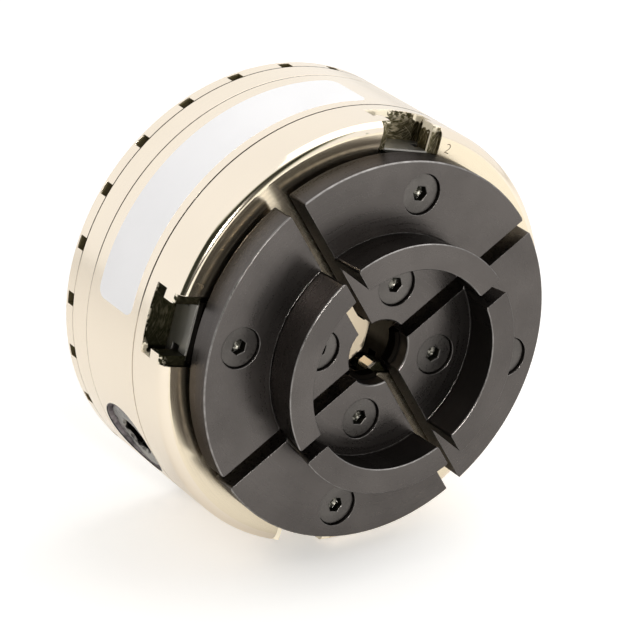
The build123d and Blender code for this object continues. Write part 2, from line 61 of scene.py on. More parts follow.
# Heights above the rear face
FRONT_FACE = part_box("front_body")[1].z
RING_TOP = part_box("index_ring")[1].z
INSERT_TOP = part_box("spindle_insert")[1].z
SCREW_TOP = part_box("jaw_screws_1")[1].z
PLATE_JOINT = 12.2 * MM
TURNED_LINE = FRONT_FACE - 14.9 * MM
PINION_HEIGHT = 25.4 * MM
SLOT_FLOOR = 41.9 * MM
UNDERCUT_TOP = 46.6 * MM
SLOT_LIP = (50.8 * MM, 0.35 * MM)     # middle and half height of the edge along the wall of slot 2
JAW_GAP = 51.75 * MM      # from here the slides' heads lie in the dark gap under the top jaws, which is painted shade
HOLE_STEP = 58.8 * MM
GRIP_WALL = (69.3 * MM, 5.9 * MM)     # middle and half height of the wall inside the grip

# Distances from the spindle axis
BODY_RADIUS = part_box("front_body")[1].x
HOLE_RADIUS = 9.75 * MM   # hole between the top jaws
WALL_START = 12.2 * MM    # where the slots' walls begin
WELL_EDGE = 13.0 * MM
SLIDE_TIPS = 17.0 * MM
SLOT_MOUTH = 60.6 * MM
GRIP_INSIDE = 30.75 * MM
BORE_RADIUS = 12.7 * MM

# Other sizes of the solids that the finishes follow
SLOT_HALF = 9.95 * MM
EDGE_ROUND = 3.1 * MM     # round of the body's front edge
NOTCH_DEPTH = (3.2 * MM, 2.9 * MM)    # middle and half depth of the index notches, from the outside in
PINION_ANGLE = math.radians(223.0)
KEY_HOLE = (12.0 * MM, 52.0 * MM)     # reach round the pinion's axis, and least distance out along it
PINION_SOCKET = 6.6 * MM              # distances from the pinion's axis
PINION_CHAMFER = 10.15 * MM
PINION_RADIUS = 11.3 * MM
SCREW_HEAD = 5.8 * MM
SCREW_SHANK = 3.0 * MM
SOCKET_FLATS = 4.0 * MM
SOCKET_DEPTH = 2.3 * MM
THREAD_ENDS = (2.6 * MM, INSERT_TOP - 1.4 * MM)
THREAD_RUN_OUT = 0.25     # turns over which the thread fades into the bore
LABEL_LIFT = 0.01 * MM    # from the body to the label's inner skin
FONT_OVER_DIGIT = 1.35    # font size for a digit's height

# Heights of the dirty lines round the body, and half their widths
GRIMY_LINES = ((RING_TOP, 0.15 * MM), (PLATE_JOINT, 0.2 * MM), (TURNED_LINE, 0.27 * MM))

# Ranges of noise and of normals that the masks stretch
NOISE_MIDDLE = (0.35, 0.65)
NOISE_WIDE = (0.3, 0.7)
EDGE_FACING = (0.985, 0.82)           # cosine of flat to eased normal, from no edge to a sharp one
CHAMFER_FACING = (0.45, 0.88)
UPPER_SLOTS = (5 * MM, 30 * MM)       # Y over which the painted shade in the slots turns from darker to lighter

# Shades of what lies on a finish: dirt, burrs and cuts, and painted shade, painted light and painted glints
# painted shade in the slots, first for the slots towards -Y, then for those towards +Y
LOW_SLOT_SHADE = ((0.020, 0.020, 0.009), (0.040, 0.037, 0.020))
HIGH_SLOT_SHADE = ((0.065, 0.057, 0.028), (0.15, 0.13, 0.075))
# painted glint on the cutter streaks
STREAK_GLINT = (0.66, 0.58, 0.42)
SLOT_FLECK = (0.93, 0.85, 0.68)
# bright burrs, and painted light on slot floors and walls
BURR_AND_LIGHT = (0.93, 0.84, 0.66)
WELL_FLOOR = (0.93, 0.79, 0.58)
FACE_TINT = (0.94, 0.93, 0.86)
KEY_WALL = ((0.20, 0.18, 0.185), (0.52, 0.47, 0.48))
# painted shade in the gap at the key hole's mouth
KEY_HOLE_GAP_SHADE = (0.02, 0.017, 0.013)
# painted shade in the index notches
NOTCH_SHADE = (0.15, 0.125, 0.065)
# grime in the joint lines, with painted shade
GRIME_AND_SHADE = (0.05, 0.036, 0.02)
# painted shade, in black
SHADE_BLACK = (0.006, 0.005, 0.004)
# painted shade in the screw sockets
SOCKET_SHADE = (0.035, 0.034, 0.028)
SOCKET_GLINT = (0.24, 0.23, 0.20)
# painted shade in the pinion's socket
PINION_SOCKET_SHADE = (0.02, 0.018, 0.015)
PINION_RIM = (0.36, 0.33, 0.33)
# painted shade in the gap round the pinion
PINION_GAP_SHADE = (0.03, 0.025, 0.02)
PINION_EDGE = (0.5, 0.47, 0.45)

# Studio
TABLE_NORMAL = Vector((-0.2926, 0.9562, 0.0)).normalized()
CAMERA_DEGREES = (-26.44656, -32.7551, 17.03772)     # about X, then Y, then Z
AIM = Vector((0, 0, 0.035))
# Name, distances from AIM to the right, up and near, side and colour
TOP_LAMP = ("top_softbox", 0.42, 0.80, -0.12, 1.05, (1.0, 0.995, 0.98))
FRONT_LAMP = ("front_lamp", 0.50, 0.23, 1.07, 0.07, (1.0, 0.98, 0.95))
# Borders of the unlit part of the room: 0 for right or 1 for up, then the range from lit to dark
DARK_BORDERS = ((0, (-0.42, -0.32)), (0, (0.80, 0.70)), (1, (-0.30, -0.20)), (1, (0.74, 0.60)))
DARK_TINT = (0.80, 0.85, 0.55)
TABLE_REACH = 1.5         # from AIM to the table's sides and far edge
TABLE_FRONT = 0.5
TABLE_COLOUR = (0.93, 0.92, 0.90, 1.0)
TABLE_GLOW = 0.27         # what the camera sees over the table's own shade
TABLE_MIRROR = 0.06       # what metal mirrors over it


# Sizes and colours

class ChuckSizes(PropertyGroup):
    """Sizes of the pieces that dress the chuck."""

    label_low: FloatProperty(
        name="Label lower edge", description="Height of the label's rear edge above the rear face",
        default=16.9 * MM, unit="LENGTH", subtype="DISTANCE")
    label_high: FloatProperty(
        name="Label upper edge", description="Height of the label's front edge above the rear face",
        default=34.4 * MM, unit="LENGTH", subtype="DISTANCE")
    label_start: FloatProperty(
        name="Label start", description="Angle at which the label begins, from jaw 1",
        default=math.radians(93.0), subtype="ANGLE")
    label_end: FloatProperty(
        name="Label end", description="Angle at which the label ends, from jaw 1",
        default=math.radians(183.3), subtype="ANGLE")
    label_corner: FloatProperty(
        name="Label corner", description="Corner radius of the label",
        default=3.0 * MM, unit="LENGTH", subtype="DISTANCE")
    label_thick: FloatProperty(
        name="Label thickness", description="Thickness of the label's film",
        default=0.05 * MM, unit="LENGTH", subtype="DISTANCE")
    number_height: FloatProperty(
        name="Number height", description="Height of the station numbers on the front face",
        default=3.0 * MM, unit="LENGTH", subtype="DISTANCE")
    number_radius: FloatProperty(
        name="Number circle", description="Radius of the circle on which the station numbers stand",
        default=57.4 * MM, unit="LENGTH", subtype="DISTANCE")
    number_angle: FloatProperty(
        name="Number offset", description="Angle from a slot's middle to its number",
        default=math.radians(13.2), subtype="ANGLE")
    thread_pitch: FloatProperty(
        name="Spindle thread pitch", description="Pitch of the thread in the spindle bore",
        default=25.4 / 8 * MM, unit="LENGTH", subtype="DISTANCE")
    thread_depth: FloatProperty(
        name="Spindle thread depth", description="How far the thread stands in from the bore",
        default=1.55 * MM, unit="LENGTH", subtype="DISTANCE")
    turn_steps: IntProperty(
        name="Steps per turn", description="Segments of one turn of the thread", default=96, min=24)


class ChuckColours(PropertyGroup):
    """Colours of the finishes."""

    nickel: FloatVectorProperty(
        name="Nickel plate", description="Warm bright plating of body, plate and ring",
        default=(0.95, 0.845, 0.70), size=3, subtype="COLOR", min=0, max=1)
    black: FloatVectorProperty(
        name="Black oxide", description="Blackened steel of the top jaws",
        default=(0.106, 0.097, 0.092), size=3, subtype="COLOR", min=0, max=1)
    slide: FloatVectorProperty(
        name="Slide oxide", description="Paler blackened steel of the slides under the jaws",
        default=(0.33, 0.32, 0.295), size=3, subtype="COLOR", min=0, max=1)
    worn: FloatVectorProperty(
        name="Worn edge", description="Steel that shows where the black has rubbed off",
        default=(0.36, 0.345, 0.335), size=3, subtype="COLOR", min=0, max=1)
    screw: FloatVectorProperty(
        name="Screw black", description="Phosphate black of the screws",
        default=(0.105, 0.098, 0.092), size=3, subtype="COLOR", min=0, max=1)
    steel: FloatVectorProperty(
        name="Turned steel", description="Bare turned steel of the insert and the scroll",
        default=(0.52, 0.50, 0.47), size=3, subtype="COLOR", min=0, max=1)
    pinion: FloatVectorProperty(
        name="Pinion steel", description="Hardened dark steel of the key pinion",
        default=(0.13, 0.125, 0.115), size=3, subtype="COLOR", min=0, max=1)
    paper: FloatVectorProperty(
        name="Label film", description="White film of the label",
        default=(0.98, 0.97, 0.975), size=3, subtype="COLOR", min=0, max=1)
    ink: FloatVectorProperty(
        name="Stamped mark", description="Shade inside the stamped numbers",
        default=(0.16, 0.13, 0.09), size=3, subtype="COLOR", min=0, max=1)


class ChuckStage(PropertyGroup):
    """Camera and studio."""

    camera_place: FloatVectorProperty(
        name="Camera place", description="Where the camera stands",
        default=(-0.488926, 0.231855, 0.654474), size=3, unit="LENGTH", subtype="XYZ")
    camera_turn: FloatVectorProperty(
        name="Camera turn", description="Turns of the camera about X, Y and Z",
        default=[math.radians(angle) for angle in CAMERA_DEGREES], size=3, unit="ROTATION", subtype="EULER")
    lens: FloatProperty(name="Lens", description="Focal length in millimetres", default=166.025, min=1)
    ambient: FloatProperty(
        name="Room light", description="Strength of the even light of the room", default=0.64)
    lamp_level: FloatProperty(
        name="Top lamp", description="Brightness of the large lamp overhead", default=1.1)
    front_level: FloatProperty(
        name="Front lamp", description="Brightness of the small lamp beside the camera", default=560.0)
    dark_level: FloatProperty(
        name="Dark of the room", default=0.03,
        description="What metal mirrors of the unlit room in front of the chuck")


# Node building

def node(tree, kind, inputs=None, **settings):
    """Adds a node; inputs maps socket names or numbers to values or to sockets to link from."""
    made = tree.nodes.new(kind)
    for key, value in settings.items():
        setattr(made, key, value)
    for key, value in (inputs or {}).items():
        if isinstance(value, bpy.types.NodeSocket):
            tree.links.new(value, made.inputs[key])
        else:
            made.inputs[key].default_value = value
    return made


def calc(tree, operation, *values):
    """Adds a Math node and gives its result."""
    return node(tree, "ShaderNodeMath", dict(enumerate(values)), operation=operation).outputs[0]


def times(tree, first, *others):
    """Product of all values."""
    for other in others:
        first = calc(tree, "MULTIPLY", first, other)
    return first


def largest(tree, first, *others):
    """Largest of all values."""
    for other in others:
        first = calc(tree, "MAXIMUM", first, other)
    return first


def above(tree, value, limit):
    """1 where a value is over a limit, else 0."""
    return calc(tree, "GREATER_THAN", value, limit)


def below(tree, value, limit):
    """1 where a value is under a limit, else 0."""
    return calc(tree, "LESS_THAN", value, limit)


def ramp(tree, value, low, high, to_low=0.0, to_high=1.0):
    """Maps a value from low..high to to_low..to_high, held at both ends."""
    keys = ("Value", "From Min", "From Max", "To Min", "To Max")
    return node(tree, "ShaderNodeMapRange", dict(zip(keys, (value, low, high, to_low, to_high)))).outputs[0]


def noise(tree, vector, scale, detail):
    """Soft noise in space, mostly between 0.3 and 0.7."""
    return node(tree, "ShaderNodeTexNoise", {"Vector": vector, "Scale": scale, "Detail": detail}).outputs[0]


def vector_of(tree, x, y, z):
    """A vector from three values."""
    return node(tree, "ShaderNodeCombineXYZ", {0: x, 1: y, 2: z}).outputs[0]


def blend_colour(tree, share, first, second):
    """Mixes two colours; share 0 gives the first."""
    pair = [c if isinstance(c, bpy.types.NodeSocket) else (*c[:3], 1.0) for c in (first, second)]
    return node(tree, "ShaderNodeMix", {0: share, 6: pair[0], 7: pair[1]}, data_type="RGBA").outputs[2]


def scaled(colour, *factors):
    """A colour times one factor, or times a factor for each channel."""
    return [c * k for c, k in zip(colour, factors if len(factors) == 3 else factors * 3)]


def start_group(name, inputs, outputs):
    """Makes an empty shader node group. inputs are name and default pairs, outputs name and kind pairs."""
    tree = bpy.data.node_groups.new(name, "ShaderNodeTree")
    for label, default in inputs:
        socket = tree.interface.new_socket(name=label, in_out="INPUT", socket_type="NodeSocketFloat")
        socket.default_value = default
    for label, kind in outputs:
        tree.interface.new_socket(name=label, in_out="OUTPUT", socket_type=kind)
    return tree, tree.nodes.new("NodeGroupInput").outputs, tree.nodes.new("NodeGroupOutput").inputs


def own_place(tree):
    """Object coordinates: as a vector, then X, Y, Z and the distance from the spindle axis."""
    place = node(tree, "ShaderNodeTexCoord").outputs["Object"]
    x, y, z = node(tree, "ShaderNodeSeparateXYZ", {0: place}).outputs
    return place, x, y, z, calc(tree, "SQRT", calc(tree, "ADD", times(tree, x, x), times(tree, y, y)))


def dot(tree, first, second):
    """Dot product of two vectors."""
    return node(tree, "ShaderNodeVectorMath", {0: first, 1: second}, operation="DOT_PRODUCT").outputs["Value"]


def slot_ways(tree, x, y):
    """Distances across and along the nearer of the crossed slots."""
    sides = [calc(tree, "ABSOLUTE", way) for way in (x, y)]
    return calc(tree, "MINIMUM", *sides), calc(tree, "MAXIMUM", *sides)


def flatness(tree, normal):
    """Share of a normal along the spindle axis, either way."""
    return calc(tree, "ABSOLUTE", node(tree, "ShaderNodeSeparateXYZ", {0: normal}).outputs[2])


def group_turning():
    """Lathe marks: noise that changes fast with radius and height and slowly round the axis."""
    tree, given, out = start_group(
        "turning_marks", [("Density", 2500.0), ("Round", 3.0), ("Detail", 2.0)],
        [("Marks", "NodeSocketFloat")])
    x, y, z, r = own_place(tree)[1:]
    across, along = (times(tree, calc(tree, "DIVIDE", way, r), given["Round"]) for way in (x, y))
    vector = vector_of(tree, times(tree, r, given["Density"]), times(tree, z, given["Density"]), across)
    marks = node(tree, "ShaderNodeTexNoise", {
        "Vector": vector, "W": along, "Scale": 1.0, "Detail": given["Detail"]}, noise_dimensions="4D")
    tree.links.new(marks.outputs[0], out["Marks"])
    return tree


def group_tone():
    """Broad uneven tone, between Low and High."""
    tree, given, out = start_group(
        "broad_tone", [("Scale", 40.0), ("Low", 0.0), ("High", 1.0)], [("Tone", "NodeSocketFloat")])
    cloud = noise(tree, own_place(tree)[0], given["Scale"], 3.0)
    tree.links.new(ramp(tree, cloud, *NOISE_MIDDLE, given["Low"], given["High"]), out["Tone"])
    return tree


def group_grain():
    """Fine blasted grain of steel."""
    tree, given, out = start_group("fine_grain", [("Scale", 3000.0)], [("Grain", "NodeSocketFloat")])
    tree.links.new(noise(tree, own_place(tree)[0], given["Scale"], 2.0), out["Grain"])
    return tree


def group_edges():
    """Eased edges: a rounded normal, a mask that is 1 on sharp edges and one that is 1 on chamfers. Both
    masks are rubbed off in patches."""
    tree, given, out = start_group(
        "eased_edges", [("Radius", 0.3 * MM), ("Patchy", 0.5)],
        [("Normal", "NodeSocketVector"), ("Edge", "NodeSocketFloat"), ("Bevelled", "NodeSocketFloat")])
    eased = node(tree, "ShaderNodeBevel", {"Radius": given["Radius"]}, samples=6).outputs[0]
    flat = node(tree, "ShaderNodeNewGeometry").outputs["Normal"]
    facing = dot(tree, eased, flat)
    rubbed = ramp(tree, noise(tree, own_place(tree)[0], 450.0, 3.0), 0.35, 0.62)
    patch = calc(tree, "SUBTRACT", 1.0, times(tree, rubbed, given["Patchy"]))
    steep = flatness(tree, flat)
    chamfer = times(tree, above(tree, steep, CHAMFER_FACING[0]), below(tree, steep, CHAMFER_FACING[1]))
    tree.links.new(eased, out["Normal"])
    tree.links.new(times(tree, ramp(tree, facing, *EDGE_FACING), patch), out["Edge"])
    tree.links.new(times(tree, chamfer, patch), out["Bevelled"])
    return tree


def group_slot():
    """Mask that is 1 inside the crossed T-slots of the body. Nearer to the spindle axis than Centre only
    their walls count, from WALL_START outward."""
    tree, given, out = start_group(
        "slot_zone",
        [("Half width", SLOT_HALF), ("Front", FRONT_FACE), ("Outside", BODY_RADIUS), ("Centre", 28.0 * MM)],
        [("Inside", "NodeSocketFloat")])
    x, y, z, r = own_place(tree)[1:]
    inside = below(tree, slot_ways(tree, x, y)[0], calc(tree, "ADD", given["Half width"], 0.02 * MM))
    deep = times(tree, below(tree, z, calc(tree, "SUBTRACT", given["Front"], SKIN)),
                 above(tree, z, SLOT_FLOOR - SKIN))
    walls = times(tree, above(tree, z, SLOT_FLOOR + 0.3 * MM), above(tree, r, WALL_START))
    within = times(tree, below(tree, r, calc(tree, "SUBTRACT", given["Outside"], 0.15 * MM)),
                   largest(tree, above(tree, r, given["Centre"]), walls))
    tree.links.new(times(tree, inside, deep, within), out["Inside"])
    return tree


GROUPS = {}


def placed(tree, name, **values):
    """Places a shared group with its own values and gives its outputs."""
    made = tree.nodes.new("ShaderNodeGroup")
    made.node_tree = GROUPS[name]
    for key, value in values.items():
        made.inputs[key].default_value = value
    return made.outputs


# Materials

def start_material(name):
    """A material with one Principled shader, its tree and that shader's inputs."""
    material = bpy.data.materials.new(name)
    material.use_nodes = True
    tree = material.node_tree
    tree.nodes.clear()
    shader = tree.nodes.new("ShaderNodeBsdfPrincipled")
    output = tree.nodes.new("ShaderNodeOutputMaterial")
    tree.links.new(shader.outputs[0], output.inputs["Surface"])
    return material, tree, shader.inputs


def relief(tree, shader, height, strength, distance, edges=None):
    """Gives the shader a bumped normal, over the eased normal if there is one."""
    inputs = {"Height": height, "Strength": strength, "Distance": distance}
    if edges:
        inputs["Normal"] = edges["Normal"]
    tree.links.new(node(tree, "ShaderNodeBump", inputs).outputs[0], shader["Normal"])


def cutter_streaks(tree, x, y, z, r):
    """Streaks that a cutter leaves in the slots, painted as bright glints that are fainter towards -Y, and a
    mask that is 1 at a slot's mouth. On the floor they
    are arcs: the distance along the slot, less or plus the height of a circle of the slot's half width over
    the distance across it. On the walls they run along the slot, one over the other."""
    across, along = slot_ways(tree, x, y)
    height = calc(tree, "SUBTRACT", SLOT_HALF ** 2 * 1.05, times(tree, across, across))
    height = calc(tree, "SQRT", calc(tree, "MAXIMUM", height, 0.0))
    flat = above(tree, flatness(tree, node(tree, "ShaderNodeNewGeometry").outputs["Normal"]), 0.5)
    over = ramp(tree, flat, 0.0, 1.0, z, calc(tree, "SUBTRACT", along, height))
    cuts = []
    for line, fine in ((over, 3300.0), (calc(tree, "ADD", along, height), 3900.0)):
        vector = vector_of(
            tree, times(tree, line, fine), times(tree, along, 330.0), times(tree, across, 260.0))
        cuts.append(ramp(tree, noise(tree, vector, 1.0, 2.0), 0.57, 0.67))
    streak_glint = largest(tree, cuts[0], times(tree, cuts[1], flat))
    # painted glint: the streaks are brighter towards +Y
    streak_glint = times(tree, streak_glint, ramp(tree, y, *UPPER_SLOTS, 0.10, 0.95))
    wide = ramp(tree, times(tree, y, calc(tree, "SIGN", x)), 6.0 * MM, 9.0 * MM, 0.9 * MM, 3.0 * MM)
    return streak_glint, ramp(tree, r, calc(tree, "SUBTRACT", BODY_RADIUS, wide), BODY_RADIUS - 0.3 * MM)


def bright_burrs(tree, x, y, z, r, grain):
    """Mask of bright burrs and of painted light: burrs along one wall of the slot of jaw 2, and painted light
    on the floor at the mouth of that slot, at the lower corner of the slot of jaw 3 and at the mouth of the
    slot of jaw 4. grain makes their inner borders ragged."""
    ragged = times(tree, calc(tree, "SUBTRACT", grain, 0.5), 5 * MM)
    ragged_x, ragged_y, ragged_r = (calc(tree, "ADD", way, ragged) for way in (x, y, r))
    low = below(tree, z, UNDERCUT_TOP)
    mouth = above(tree, ragged_r, SLOT_MOUTH)
    floor = largest(tree, times(tree, below(tree, ragged_x, -1.2 * MM), low, above(tree, r, 60.4 * MM)),
                    times(tree, low, below(tree, x, -7.25 * MM)))
    lip = calc(tree, "COMPARE", z, *SLOT_LIP)
    wall = times(tree, above(tree, x, 7.2 * MM), largest(tree, lip, mouth), below(tree, z, sum(SLOT_LIP)))
    jaw_2 = times(tree, largest(tree, floor, wall), above(tree, y, 50 * MM))
    jaw_3 = times(tree, below(tree, ragged_y, -7.6 * MM), low, mouth, below(tree, x, -50 * MM))
    return largest(tree, jaw_2, jaw_3, below(tree, ragged_y, -56 * MM))


def pinion_place(tree, x, y, z):
    """Distance of a point from the pinion's axis, and how far out along that axis it lies."""
    cosine, sine = math.cos(PINION_ANGLE), math.sin(PINION_ANGLE)
    side = calc(tree, "ADD", times(tree, x, -sine), times(tree, y, cosine))
    rise = calc(tree, "SUBTRACT", z, PINION_HEIGHT)
    off = calc(tree, "SQRT", calc(tree, "ADD", times(tree, side, side), times(tree, rise, rise)))
    return off, calc(tree, "ADD", times(tree, x, cosine), times(tree, y, sine))


def nickel_plate(colours):
    """Bright warm plating over turned steel, rough in the milled slots, grimy in the joint lines, with
    painted shade in the slots, notches and key hole and painted light and glints in the slots.
    """
    material, tree, shader = start_material("nickel_plate")
    marks = placed(tree, "turning_marks", Density=2600.0, Round=2.0)["Marks"]
    tone = placed(tree, "broad_tone", Scale=38.0)["Tone"]
    edges = placed(tree, "eased_edges", Radius=0.25 * MM, Patchy=0.6)
    inside = placed(tree, "slot_zone")["Inside"]
    milled = placed(tree, "fine_grain", Scale=900.0)["Grain"]
    x, y, z, r = own_place(tree)[1:]
    nickel = colours.nickel
    shade = blend_colour(tree, ramp(tree, tone, 0.0, 1.0, 0.0, 0.35), nickel, scaled(nickel, 0.93))
    shade = blend_colour(tree, above(tree, z, FRONT_FACE - SKIN), shade, scaled(nickel, *FACE_TINT))

    # painted shade: the slots are darker than the plating, and darker still towards -Y
    upper_slot = ramp(tree, y, *UPPER_SLOTS)
    dark, light = (blend_colour(tree, upper_slot, *pair) for pair in zip(LOW_SLOT_SHADE, HIGH_SLOT_SHADE))
    slot = blend_colour(tree, ramp(tree, milled, *NOISE_MIDDLE), dark, light)
    streak_glint, mouth = cutter_streaks(tree, x, y, z, r)
    # painted glint on the cutter streaks
    slot = blend_colour(tree, streak_glint, slot, STREAK_GLINT)
    slot = blend_colour(tree, times(tree, mouth, ramp(tree, milled, 0.50, 0.56)), slot, SLOT_FLECK)
    # bright burrs, and painted light where the lamp reaches into the slots
    burr_and_light = bright_burrs(tree, x, y, z, r, milled)
    slot = blend_colour(tree, times(tree, burr_and_light, 0.9), slot, BURR_AND_LIGHT)
    shade = blend_colour(tree, inside, shade, slot)
    well = times(tree, below(tree, r, WELL_EDGE), below(tree, z, SLOT_FLOOR + SKIN))
    shade = blend_colour(tree, well, shade, WELL_FLOOR)

    off, outward_bit = pinion_place(tree, x, y, z)
    wall = times(tree, below(tree, off, KEY_HOLE[0]), above(tree, outward_bit, KEY_HOLE[1]))
    steel = blend_colour(tree, placed(tree, "broad_tone", Scale=520.0)["Tone"], *KEY_WALL)
    # painted shade: a thin dark line at the key hole's mouth
    steel = blend_colour(tree, above(tree, r, BODY_RADIUS - 0.28 * MM), steel, KEY_HOLE_GAP_SHADE)
    shade = blend_colour(tree, wall, shade, steel)

    # painted shade inside the index notches
    notch_shade = times(tree, below(tree, z, RING_TOP - 2 * SKIN), above(tree, z, SKIN),
                  calc(tree, "COMPARE", r, BODY_RADIUS - NOTCH_DEPTH[0], NOTCH_DEPTH[1]))
    shade = blend_colour(tree, notch_shade, shade, NOTCH_SHADE)
    lines = [calc(tree, "COMPARE", z, height, half) for height, half in GRIMY_LINES]
    grime = times(tree, largest(tree, *lines), above(tree, r, BODY_RADIUS - 1.0 * MM))
    # grime in the joint lines, made darker towards +Y as painted shade
    shade = blend_colour(tree, times(tree, grime, ramp(tree, y, -3 * MM, 6 * MM, 0.15, 0.95)), shade, GRIME_AND_SHADE)
    tree.links.new(shade, shader["Base Color"])

    dull = largest(tree, well, grime, times(tree, wall, 0.7), notch_shade, times(tree, burr_and_light, inside))
    tree.links.new(ramp(tree, dull, 0.0, 1.0, 1.0, 0.1), shader["Metallic"])
    rounded = times(tree, above(tree, r, BODY_RADIUS - EDGE_ROUND), above(tree, z, FRONT_FACE - EDGE_ROUND))
    rough = times(tree, ramp(tree, marks, *NOISE_WIDE, 0.17, 0.27), ramp(tree, rounded, 0.0, 1.0, 1.0, 0.5))
    for mask, more in ((well, 0.3), (inside, 0.2)):
        rough = calc(tree, "ADD", rough, times(tree, mask, more))
    tree.links.new(rough, shader["Roughness"])
    plain = times(tree, marks, calc(tree, "SUBTRACT", 1.0, inside))
    relief(tree, shader, calc(tree, "ADD", plain, times(tree, milled, inside, 12.0)), 0.25, 0.004 * MM, edges)
    return material


def black_oxide(name, colours, base, rough_low, rough_high, wear, sheen=0.3, painted_shade=None):
    """Blackened steel with a fine grain, turned marks and rubbed edges. The optional mask function paints
    shade in black, from X, Y, Z and the distance from the spindle axis."""
    material, tree, shader = start_material(name)
    marks = placed(tree, "turning_marks", Density=1500.0, Round=1.5)["Marks"]
    tone = placed(tree, "broad_tone", Scale=55.0)["Tone"]
    grain = placed(tree, "fine_grain", Scale=2600.0)["Grain"]
    edges = placed(tree, "eased_edges", Radius=0.28 * MM, Patchy=0.55)
    shade = blend_colour(tree, tone, base, scaled(base, 1.25))
    rubbed = largest(tree, edges["Edge"], edges["Bevelled"])
    shade = blend_colour(tree, times(tree, rubbed, wear), shade, colours.worn)
    rough = ramp(tree, calc(tree, "ADD", marks, grain), 0.7, 1.3, rough_low, rough_high)
    if painted_shade:
        # painted shade in black where the mask is 1, rougher there
        black = painted_shade(tree, *own_place(tree)[1:])
        shade = blend_colour(tree, black, shade, SHADE_BLACK)
        rough = calc(tree, "ADD", rough, times(tree, black, 0.3))
    tree.links.new(shade, shader["Base Color"])
    shader["Metallic"].default_value = 1.0
    shader["Specular Tint"].default_value = (sheen, sheen, sheen, 1.0)
    tree.links.new(rough, shader["Roughness"])
    relief(tree, shader, calc(tree, "ADD", grain, times(tree, marks, 0.6)), 0.3, 0.02 * MM, edges)
    return material


def slide_oil(tree, x, y, z, r):
    """Painted shade, in black, in the gap under the top jaw and on the slides' tips in the well."""
    tip = times(tree, below(tree, r, SLIDE_TIPS), ramp(tree, y, -0.5 * MM, -3.0 * MM, 0.88, 1.0))
    return largest(tree, above(tree, z, JAW_GAP), tip)


def hole_oil(tree, x, y, z, r):
    """Painted shade, in dull black, on the step in the jaw hole, and in part on the hole's wall and on the
    grip's inner wall.
    """
    step = times(tree, below(tree, r, HOLE_RADIUS + 3 * SKIN), below(tree, z, HOLE_STEP + SKIN))
    hole = times(tree, below(tree, r, HOLE_RADIUS), 0.25)
    grip = times(tree, below(tree, r, GRIP_INSIDE), calc(tree, "COMPARE", z, *GRIP_WALL), 0.65)
    return largest(tree, step, hole, grip)


def keyed_screw(colours):
    """Black screw with painted shade in its socket, a painted glint at its bottom and lighter edges."""
    material, tree, shader = start_material("keyed_screw")
    grain = placed(tree, "fine_grain", Scale=2600.0)["Grain"]
    patchy = placed(tree, "fine_grain", Scale=900.0)["Grain"]
    tone = placed(tree, "broad_tone", Scale=150.0)["Tone"]
    edges = placed(tree, "eased_edges", Radius=0.2 * MM, Patchy=0.5)
    z = own_place(tree)[3]
    deep = ramp(tree, z, SCREW_TOP - 0.05 * MM, SCREW_TOP - 0.3 * MM)
    point = ramp(tree, z, SCREW_TOP - 2.1 * MM, SCREW_TOP - 2.5 * MM)
    shade = blend_colour(tree, tone, colours.screw, scaled(colours.screw, 1.3))
    # painted shade in the socket
    shade = blend_colour(tree, deep, shade, SOCKET_SHADE)
    # painted glint at the socket's bottom
    shade = blend_colour(tree, times(tree, point, ramp(tree, patchy, 0.50, 0.56)), shade, SOCKET_GLINT)
    shade = blend_colour(tree, times(tree, edges["Edge"], 0.85), shade, colours.worn)
    tree.links.new(shade, shader["Base Color"])
    shader["Metallic"].default_value = 1.0
    tree.links.new(ramp(tree, grain, *NOISE_WIDE, 0.26, 0.42), shader["Roughness"])
    relief(tree, shader, grain, 0.3, 0.02 * MM, edges)
    return material


def bare_steel(name, base, low, high):
    """Turned steel with lathe marks, its roughness between low and high."""
    material, tree, shader = start_material(name)
    marks = placed(tree, "turning_marks", Density=2200.0, Round=1.0)["Marks"]
    tone = placed(tree, "broad_tone", Scale=70.0)["Tone"]
    edges = placed(tree, "eased_edges", Radius=0.25 * MM, Patchy=0.5)
    tree.links.new(blend_colour(tree, tone, base, scaled(base, 0.82)), shader["Base Color"])
    shader["Metallic"].default_value = 1.0
    tree.links.new(ramp(tree, marks, *NOISE_WIDE, low, high), shader["Roughness"])
    relief(tree, shader, marks, 0.3, 0.01 * MM, edges)
    return material


def pinion_steel(colours):
    """Mottled hardened steel of the key pinion, with painted shade in its socket and round its border, and
    pale on its rim.
    """
    material, tree, shader = start_material("pinion_steel")
    tone = placed(tree, "broad_tone", Scale=520.0)["Tone"]
    grain = placed(tree, "fine_grain", Scale=1500.0)["Grain"]
    edges = placed(tree, "eased_edges", Radius=0.3 * MM, Patchy=0.4)
    x, y, z, r = own_place(tree)[1:]
    off = pinion_place(tree, x, y, z)[0]
    deep = times(tree, below(tree, off, PINION_SOCKET), below(tree, r, BODY_RADIUS - 2.0 * MM))
    rim = times(tree, above(tree, off, PINION_CHAMFER), above(tree, r, BODY_RADIUS - 5.0 * MM))
    shade = blend_colour(tree, tone, scaled(colours.pinion, 0.35), scaled(colours.pinion, 2.6))
    border = above(tree, off, PINION_RADIUS)
    # painted shade in the socket and in the gap round the pinion
    for mask, colour in ((deep, PINION_SOCKET_SHADE), (rim, PINION_RIM), (border, PINION_GAP_SHADE),
                         (edges["Edge"], PINION_EDGE)):
        shade = blend_colour(tree, mask, shade, colour)
    tree.links.new(shade, shader["Base Color"])
    tree.links.new(ramp(tree, rim, 0.0, 1.0, 1.0, 0.3), shader["Metallic"])
    tree.links.new(ramp(tree, calc(tree, "ADD", grain, tone), 0.4, 1.6, 0.22, 0.45), shader["Roughness"])
    relief(tree, shader, grain, 0.3, 0.02 * MM, edges)
    return material


